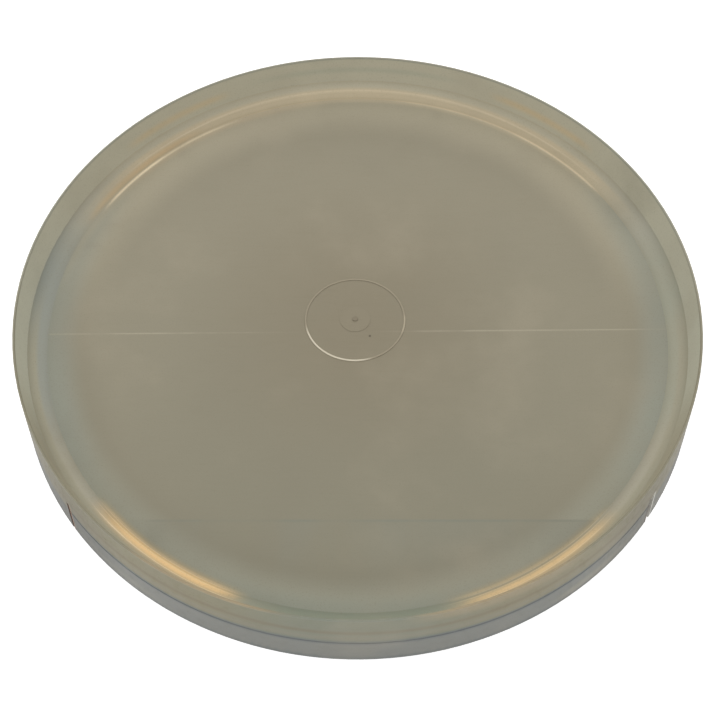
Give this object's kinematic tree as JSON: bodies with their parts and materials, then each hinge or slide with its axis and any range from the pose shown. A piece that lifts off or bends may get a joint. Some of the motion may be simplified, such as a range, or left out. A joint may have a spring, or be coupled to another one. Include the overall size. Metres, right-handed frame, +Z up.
{
  "type": "blind flange cover",
  "caption": "Round translucent plastic blind cover with a closing panel recessed in a tapered rim, and a skirt with a tear strip below.",
  "frame": {"origin": "on the axis, at the level of the skirt's foot", "axes": "+Z up along the cover's axis, from the open skirt to the recessed top side; -Y through the middle of the tear strip to within one degree; the narrow slit is on the -X side"},
  "size_m": [0.3312, 0.3311, 0.038],
  "materials": {
    "panel_plastic": "satin, milky natural polyethylene",
    "corner_plastic": "satin, warm where the wall is thickest",
    "wall_plastic": "satin, milky natural polyethylene",
    "skirt_plastic": "satin, cooler grey natural polyethylene",
    "strip_plastic": "satin, cooler grey natural polyethylene",
    "gate_plastic": "glossy witness marks of the mould",
    "sprue_plastic": "rough broken stub"
  },
  "bodies": {
    "cover": {"closing_panel": "panel_plastic", "corner_ring": "corner_plastic", "upper_wall": "wall_plastic", "rim_lip": "wall_plastic", "skirt": "skirt_plastic", "gate_ring": "gate_plastic", "gate_pad": "gate_plastic", "sprue_nub": "sprue_plastic"},
    "strip": {"tear_strip": "strip_plastic"}
  },
  "joints": [
    {"name": "strip_peel", "type": "hinge", "parent": "cover", "child": "strip", "pos_m": [-0.12714, -0.10296, 0.0086], "axis": [0, 0, -1], "range_deg": [0, 30]}
  ]
}
